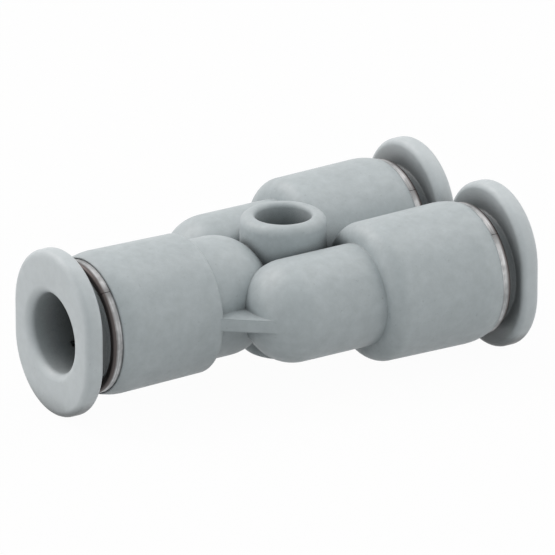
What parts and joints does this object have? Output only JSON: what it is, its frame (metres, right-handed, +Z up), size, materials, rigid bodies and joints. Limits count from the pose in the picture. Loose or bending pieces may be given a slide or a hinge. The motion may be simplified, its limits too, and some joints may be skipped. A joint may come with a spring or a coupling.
{
  "type": "push-in Y fitting",
  "caption": "Moulded Y fitting for air tube: a stem socket opposite side-by-side branch sockets, with sliding oval release rings and an upright fixing hole.",
  "frame": {"origin": "on the axis of the fixing hole, at half its height", "axes": "+X towards the pair of branch ports, +Y towards the left branch, +Z up along the fixing hole"},
  "size_m": [0.0368, 0.0222, 0.013],
  "materials": {
    "body": "moulded, fine matt grain",
    "release_rings": "moulded, satin",
    "guide_rings": "nickel-plated brass, bright",
    "lock_claws": "stainless spring sheet",
    "seals": "matt nitrile rubber"
  },
  "bodies": {
    "fitting": {"body": "body", "stem_guide_ring": "guide_rings", "left_guide_ring": "guide_rings", "right_guide_ring": "guide_rings", "stem_lock_claws": "lock_claws", "left_lock_claws": "lock_claws", "right_lock_claws": "lock_claws", "stem_seal": "seals", "left_seal": "seals", "right_seal": "seals"},
    "stem_release": {"stem_release_ring": "release_rings"},
    "left_release": {"left_release_ring": "release_rings"},
    "right_release": {"right_release_ring": "release_rings"}
  },
  "joints": [
    {"name": "stem_release_push", "type": "slide", "parent": "fitting", "child": "stem_release", "axis": [1, 0, 0], "range_m": [0, 0.00085]},
    {"name": "left_release_push", "type": "slide", "parent": "fitting", "child": "left_release", "axis": [-1, 0, 0], "range_m": [0, 0.00085]},
    {"name": "right_release_push", "type": "slide", "parent": "fitting", "child": "right_release", "axis": [-1, 0, 0], "range_m": [0, 0.00085]}
  ]
}
